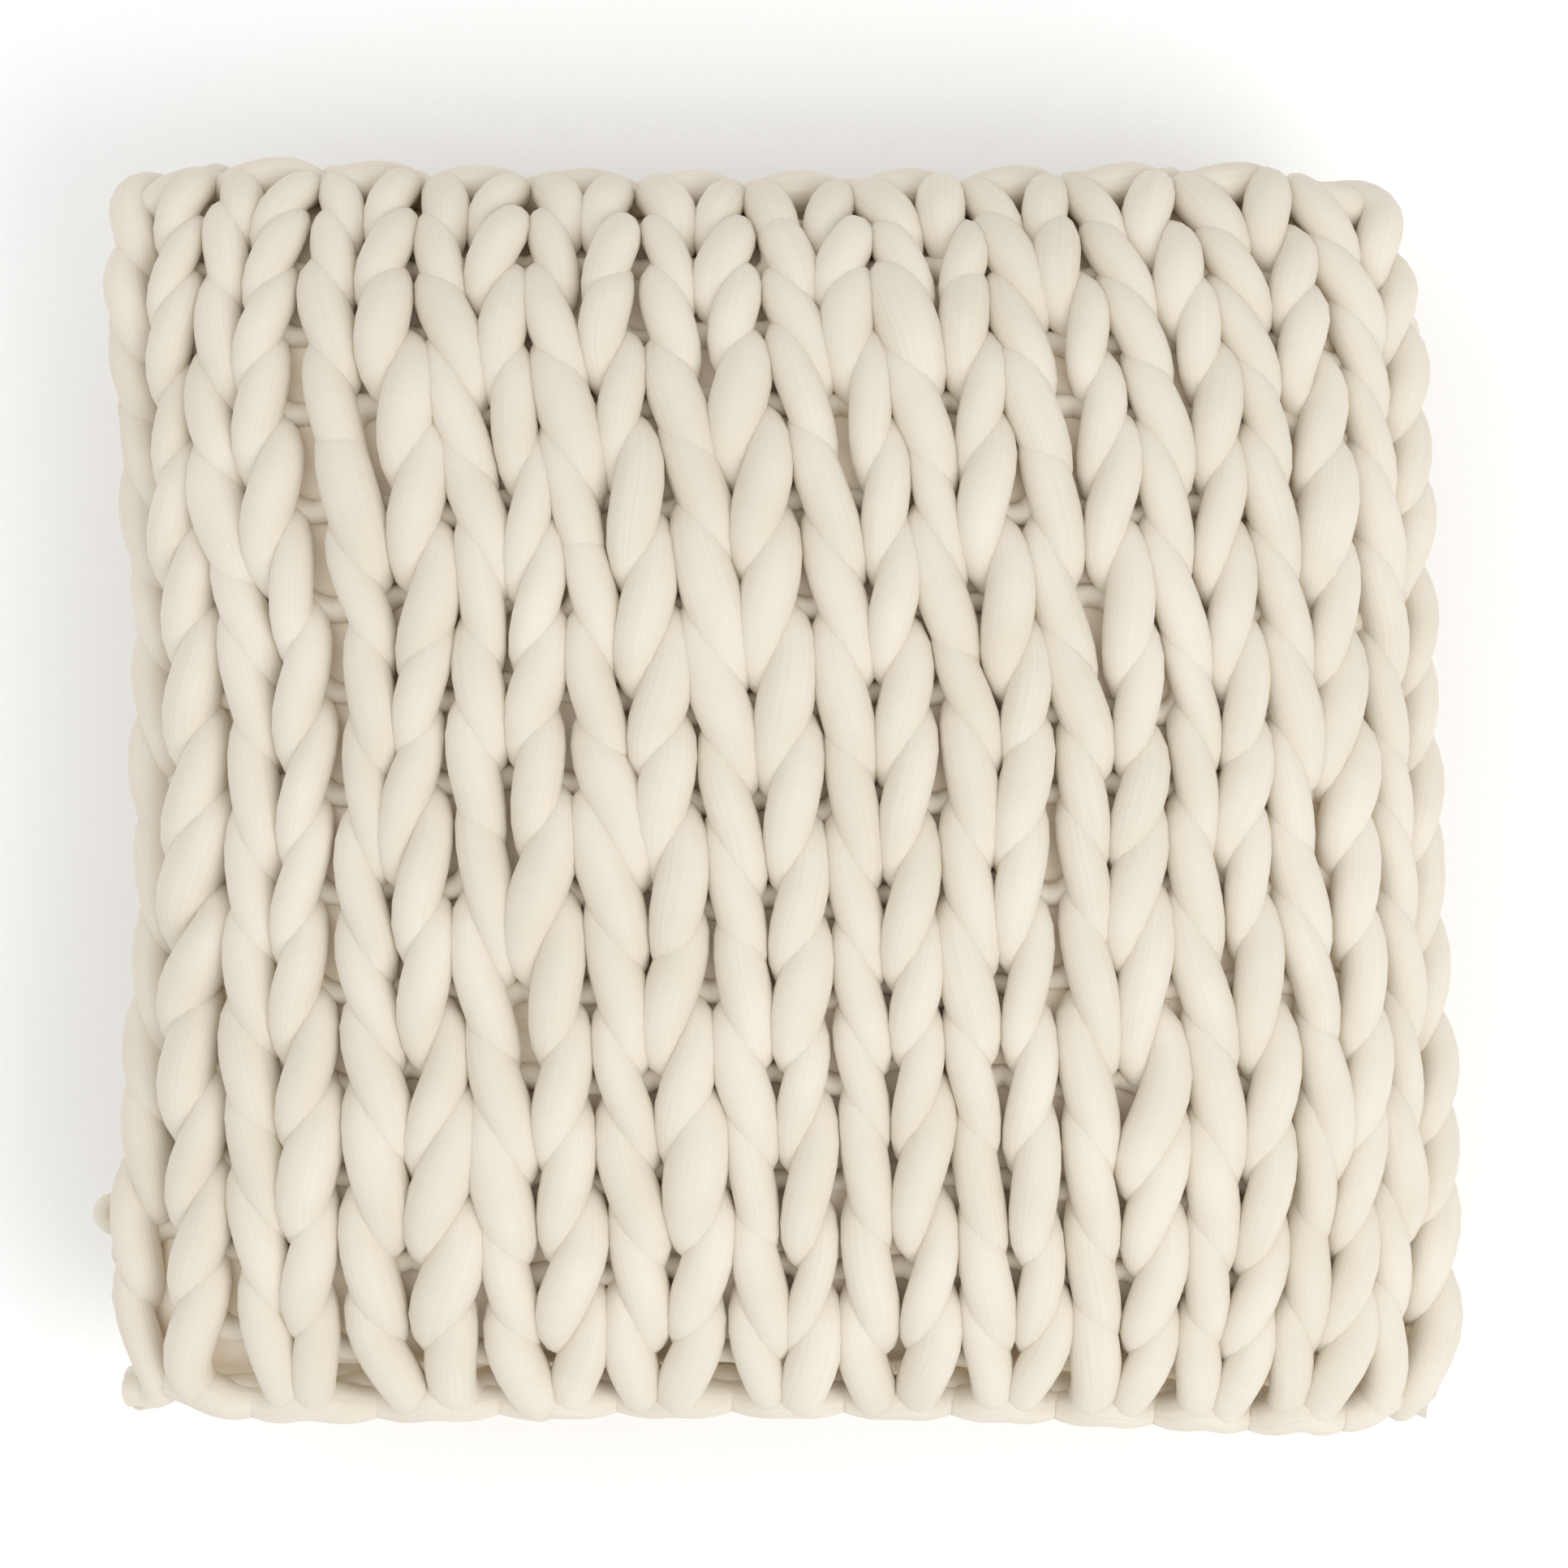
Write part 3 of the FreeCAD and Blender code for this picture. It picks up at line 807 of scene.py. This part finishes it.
@dataclass
class Cloth:
    """A panel of lining or casing that follows the cushion's form, with a wall of its own.

    ripple_scale is in ripples to the metre, seam_share says over how much of the panel it
    turns in to its seam, and the opening ends short of the tapes by opening_margin.
    """

    form: CushionForm
    name: str
    wall: float = 0.8 * MM
    inset: float = 0.0
    segments: int = 90
    ripple: float = 0.8 * MM
    ripple_scale: float = 45.0
    seam_share: float = 0.16
    seam_gap: float = 0.3 * MM
    opening_margin: float = 2.5 * MM
    opening_ease: float = 6.5 * MM
    sewn_to: tuple[str, str] | None = None

    def point(self, across: float, along: float, face: Face) -> Vector:
        """Return the cloth's point at two shares of the form.

        Args:
            across: From -1 at the left edge to 1 at the right one.
            along: From -1 at the zip edge to 1 at the closed one.
            face: The side of the cushion.

        Returns:
            The point, drawn in from the form and rippled a little.
        """
        point = self.form.point(across, along, face)
        free = 1 - max(across**2, along**2)
        drawn = self.inset - noise.noise(point * self.ripple_scale) * self.ripple * free
        place = Vector(
            (
                point.x * (1 - drawn / self.form.half_length),
                point.y * (1 - drawn / self.form.half_width),
                point.z + (self.form.mid_height - point.z) * drawn / self.form.crown,
            )
        )
        if self.sewn_to is None:
            return place
        # the edge is sewn along the outer edge of its zip tape
        low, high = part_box(self.sewn_to[face is Face.BACK])
        outer = (high.z if face is Face.FRONT else low.z) - self.form.mid_height
        open_here = smooth((high.x - self.opening_margin - abs(place.x)) / self.opening_ease)
        depth = place.y + (low.y - self.seam_gap - place.y) * open_here
        seam = Vector((place.x, depth, self.form.mid_height + outer * open_here))
        return place.lerp(seam, smooth((-along - 1 + self.seam_share) / self.seam_share))

    def layer(self, sheet: bmesh.types.BMesh, face: Face) -> None:
        """Add one side of the cloth to a mesh."""
        made = bmesh.ops.create_grid(
            sheet, x_segments=self.segments, y_segments=self.segments, size=1.0
        )
        for vertex in made["verts"]:
            across, along = (max(-1.0, min(1.0, share)) for share in vertex.co.xy)
            vertex.co = self.point(across, along, face)

    def build(self, face: Face | None, material: bpy.types.Material) -> bpy.types.Object:
        """Make the panel of one face, or a closed solid form when no face is given.

        Args:
            face: The side of the cushion, or None for both sides joined at the rim.
            material: The cloth's finish.

        Returns:
            A closed piece.
        """
        sheet = bmesh.new()
        if face is None:
            self.layer(sheet, Face.FRONT)
            self.layer(sheet, Face.BACK)
            bmesh.ops.remove_doubles(sheet, verts=sheet.verts, dist=0.1 * MM)
        else:
            self.layer(sheet, face)
            if face is Face.BACK:
                bmesh.ops.reverse_faces(sheet, faces=sheet.faces)
            bmesh.ops.solidify(sheet, geom=sheet.faces[:], thickness=self.wall)
        bmesh.ops.recalc_face_normals(sheet, faces=sheet.faces)
        return smooth_piece(self.name, sheet, material)


def smooth_piece(
    name: str, shape: bmesh.types.BMesh, material: bpy.types.Material
) -> bpy.types.Object:
    """Turn a finished shape into a smooth-shaded piece at the world's origin.

    Args:
        name: The piece's name.
        shape: Its geometry, which is freed.
        material: Its finish.

    Returns:
        The piece.
    """
    mesh = bpy.data.meshes.new(name)
    shape.to_mesh(mesh)
    shape.free()
    mesh.materials.append(material)
    for polygon in mesh.polygons:
        polygon.use_smooth = True
    piece = bpy.data.objects.new(name, mesh)
    bpy.context.scene.collection.objects.link(piece)
    return piece


@dataclass
class CareLabel:
    """The satin label in the side seam, as one sheet with a slight curl."""

    curl: float = 1.6 * MM
    wall: float = 0.3 * MM
    segments: int = 24

    def build(self, material: bpy.types.Material) -> bpy.types.Object:
        """Make the label.

        Args:
            material: The label's finish.

        Returns:
            The piece.
        """
        low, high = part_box("care_label")
        sheet = bmesh.new()
        bmesh.ops.create_grid(
            sheet, x_segments=self.segments, y_segments=self.segments, size=0.5
        )
        for vertex in sheet.verts:
            over, up = vertex.co.x + 0.5, vertex.co.y + 0.5
            bend = self.curl * over * over * math.sin(math.pi * up)
            vertex.co = (
                high.x + bend,
                low.y + (high.y - low.y) * up,
                low.z + (high.z - low.z) * over,
            )
        bmesh.ops.solidify(sheet, geom=sheet.faces[:], thickness=self.wall)
        bmesh.ops.recalc_face_normals(sheet, faces=sheet.faces)
        return smooth_piece("satin_care_label", sheet, material)


@dataclass
class Lacing:
    """The yarn that laces the two knitted panels together along one edge."""

    form: CushionForm
    name: str
    side: str
    radius: float = 4.4 * MM
    stitch_pitch: float = 28 * MM
    swing: float = 6.5 * MM
    proud: float = 5.0 * MM
    pull: float = 0.4
    tuck: float = 12 * MM
    tuck_power: int = 24
    reach: float = 0.9
    samples: int = 16

    def build(self, material: bpy.types.Material) -> bpy.types.Object:
        """Make the lacing.

        Args:
            material: The yarn's finish.

        Returns:
            The piece.
        """
        edge = {"left": -1.0, "right": 1.0, "top": 1.0}[self.side]
        half = self.form.half_length if self.side == "top" else self.form.half_width
        stitches = round(2 * half * self.reach / self.stitch_pitch)
        steps = stitches * self.samples
        yarn = Yarn()
        for i in range(steps + 1):
            share = self.reach * (2 * i / steps - 1)
            place = (share, edge) if self.side == "top" else (edge, share)
            point, normal = self.form.frame_at(*place, Face.FRONT)
            wave = 2 * math.pi * i / self.samples
            # the ends run in between the panels, where they are fastened off
            inward = (abs(share) / self.reach) ** self.tuck_power * self.tuck
            lift = self.proud * (1 - self.pull * (1 - math.cos(2 * wave))) - inward
            rise = Vector((0, 0, self.swing * math.sin(wave)))
            yarn.add(point + normal * lift + rise, self.radius)
        return yarn.to_mesh(self.name, 3, material)


@dataclass
class YarnEnd:
    """The curl of yarn left where the lacing was tied off, low on the left edge."""

    form: CushionForm
    along: float = -0.7
    curl: float = 4.2 * MM
    proud: float = 9 * MM
    radius: float = 3.4 * MM
    thinning: float = 0.15
    sweep: float = 1.5 * math.pi
    steps: int = 20

    def build(self, material: bpy.types.Material) -> bpy.types.Object:
        """Make the curl.

        Args:
            material: The yarn's finish.

        Returns:
            The piece.
        """
        point, normal = self.form.frame_at(-1.0, self.along, Face.FRONT)
        centre = point + normal * self.proud
        side = Vector((0, 1, 0))
        yarn = Yarn()
        for i in range(self.steps + 1):
            angle = self.sweep * (i / self.steps - 0.5)
            arm = normal * math.cos(angle) + side * math.sin(angle)
            radius = self.radius * (1 - self.thinning * abs(math.sin(angle)))
            yarn.add(centre + arm * self.curl, radius)
        return yarn.to_mesh("tied_yarn_end", 3, material)


@dataclass
class ZipSewing:
    """Two rows of machine stitches along each zip tape."""

    thread: float = 0.45 * MM
    stitch: float = 2.6 * MM
    pitch: float = 3.4 * MM
    margins: tuple[float, float] = (2.2 * MM, 6.4 * MM)

    def build(self, material: bpy.types.Material) -> bpy.types.Object:
        """Sew both tapes.

        Args:
            material: The thread's finish.

        Returns:
            All the stitches as one piece.
        """
        sewing = bmesh.new()
        for node, sign in (("zip_tape_upper", 1), ("zip_tape_lower", -1)):
            low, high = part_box(node)
            outer = high.z if sign > 0 else low.z
            count = int((high.x - low.x) / self.pitch) - 1
            first = (low.x + high.x) / 2 - (count - 1) * self.pitch / 2
            for margin in self.margins:
                for i in range(count):
                    made = bmesh.ops.create_icosphere(sewing, subdivisions=1, radius=0.5)
                    bmesh.ops.scale(
                        sewing, vec=(self.stitch, self.thread, self.thread), verts=made["verts"]
                    )
                    place = (first + i * self.pitch, low.y, outer - sign * margin)
                    bmesh.ops.translate(sewing, vec=place, verts=made["verts"])
        return smooth_piece("zip_sewing", sewing, material)


# ---------------------------------------------------------------- studio


@dataclass
class Studio:
    """The floor, the soft lights and the camera straight above the cushion, in metres."""

    centre: tuple[float, float] = (1.2 * MM, 3.2 * MM)
    field_of_view: float = 0.5197
    lens: float = 100.0
    sensor: float = 36.0
    floor_half: float = 4.0
    air_light: float = 0.78

    def build(self, floor_finish: bpy.types.Material) -> None:
        """Set the floor, lights and camera up.

        Args:
            floor_finish: The floor's material.
        """
        sheet = bmesh.new()
        bmesh.ops.create_grid(sheet, x_segments=1, y_segments=1, size=self.floor_half)
        mesh = bpy.data.meshes.new("floor")
        sheet.to_mesh(mesh)
        sheet.free()
        mesh.materials.append(floor_finish)
        floor = bpy.data.objects.new("floor", mesh)
        bpy.context.scene.collection.objects.link(floor)

        world = bpy.data.worlds.new("studio_air")
        bpy.context.scene.world = world
        world.use_nodes = True
        air = world.node_tree.nodes["Background"].inputs
        air["Color"].default_value = (1, 1, 1, 1)
        air["Strength"].default_value = self.air_light
        self.light("key_light", (1.1, -0.8, 1.8), 1.4, 18.5)
        self.light("fill_light", (-1.2, 0.4, 1.8), 2.0, 7.0)

        data = bpy.data.cameras.new("camera")
        data.lens = self.lens
        data.sensor_width = self.sensor
        camera = bpy.data.objects.new("camera", data)
        distance = self.field_of_view * self.lens / self.sensor
        rim = (CAD_BOUNDS[0][2] + CAD_BOUNDS[1][2]) / 2
        camera.location = (*self.centre, distance + rim)
        bpy.context.scene.collection.objects.link(camera)
        bpy.context.scene.camera = camera
        bpy.context.scene.view_settings.view_transform = "Standard"
        # light has to find its way through the gaps between the stitches
        bpy.context.scene.cycles.max_bounces = 16
        bpy.context.scene.cycles.diffuse_bounces = 12

    def light(
        self, name: str, place: tuple[float, float, float], size: float, power: float
    ) -> None:
        """Add a soft square light that faces the cushion.

        Args:
            name: The light's name.
            place: Where it hangs, in metres.
            size: Its side in metres.
            power: Its power in watts.
        """
        data = bpy.data.lights.new(name, "AREA")
        data.size = size
        data.energy = power
        lamp = bpy.data.objects.new(name, data)
        lamp.location = place
        lamp.rotation_euler = (-Vector(place)).to_track_quat("-Z", "Y").to_euler()
        bpy.context.scene.collection.objects.link(lamp)


def dress(node: str, material: bpy.types.Material) -> None:
    """Give a part of the frame its finish."""
    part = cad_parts[node]
    part.data.materials.clear()
    part.data.materials.append(material)


def install(piece: bpy.types.Object, slot: str, *nodes: str) -> None:
    """Fix a new piece to the cover.

    Args:
        piece: The piece.
        slot: The frame's material slot that it stands in; not used.
        nodes: The parts of the frame that it replaces.
    """
    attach(piece, COVER)
    if nodes:
        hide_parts(*nodes)
    log.info("%s: %d faces", piece.name, len(piece.data.polygons))


def build_knitting(form: CushionForm) -> None:
    """Knit both panels and lace them together."""
    roving = ROVING.build()
    for face, seed in ((Face.FRONT, 7), (Face.BACK, 19)):
        for piece in KnittedPanel(form, face, seed).build(roving):
            install(piece, "roving", f"knit_{face.name.lower()}")
    for side in ("left", "right", "top"):
        lacing = Lacing(form, f"lacing_yarn_{side}", side).build(roving)
        install(lacing, "roving", f"seam_yarn_{side}")
    install(YarnEnd(form).build(roving), "roving")


def build_inside(form: CushionForm) -> None:
    """Make the lining, the care label and the filled pad."""
    cloth = LINING.build()
    casing = CASING.build()
    tapes = ("zip_tape_upper", "zip_tape_lower")
    pad_form = CushionForm(
        left=Edge(-191 * MM, -186 * MM, -191 * MM),
        right=Edge(197 * MM, 192 * MM, 188 * MM),
        zip_edge=Edge(-180 * MM, -179 * MM, -180 * MM),
        closed_edge=Edge(194 * MM, 188 * MM, 187 * MM),
        half_layer=22 * MM,
        rim_layer=0.0,
        slot_half=0.0,
    )
    for face in Face:
        side = face.name.lower()
        lining = Cloth(form, f"cotton_lining_{side}", inset=4 * MM, sewn_to=tapes)
        piece = lining.build(face, cloth)
        install(piece, "lining_cotton", f"lining_{side}")
        piece = Cloth(pad_form, f"pad_cloth_{side}").build(face, casing)
        install(piece, "pad_casing", f"pad_casing_{side}")
    filling = Cloth(pad_form, "hollow_fibre_fill", inset=1.6 * MM, ripple=0.3 * MM)
    piece = filling.build(None, FIBRE.build())
    install(piece, "pad_filling", "pad_filling")
    label = CareLabel().build(SATIN.build())
    install(label, "label_satin", "care_label")


def finish_zip() -> None:
    """Dress the zip's parts and sew its tapes."""
    tape, teeth, metal = ZIP_TAPE.build(), RESIN_TEETH.build(), ENAMELLED_ZINC.build()
    install(ZipSewing().build(tape), "zip_tape")
    for side in ("upper", "lower"):
        dress(f"zip_tape_{side}", tape)
        dress(f"zip_teeth_{side}", teeth)
    for node in ("zip_top_stops", "zip_bottom_stop", "zip_slider", "zip_pull_tab"):
        dress(node, metal)


def main() -> None:
    """Build the cushion piece by piece."""
    logging.basicConfig(level=logging.INFO, format="%(message)s")
    Studio().build(FLOOR.build())
    form = CushionForm()
    build_knitting(form)
    build_inside(form)
    finish_zip()


if __name__ == "__main__":
    main()
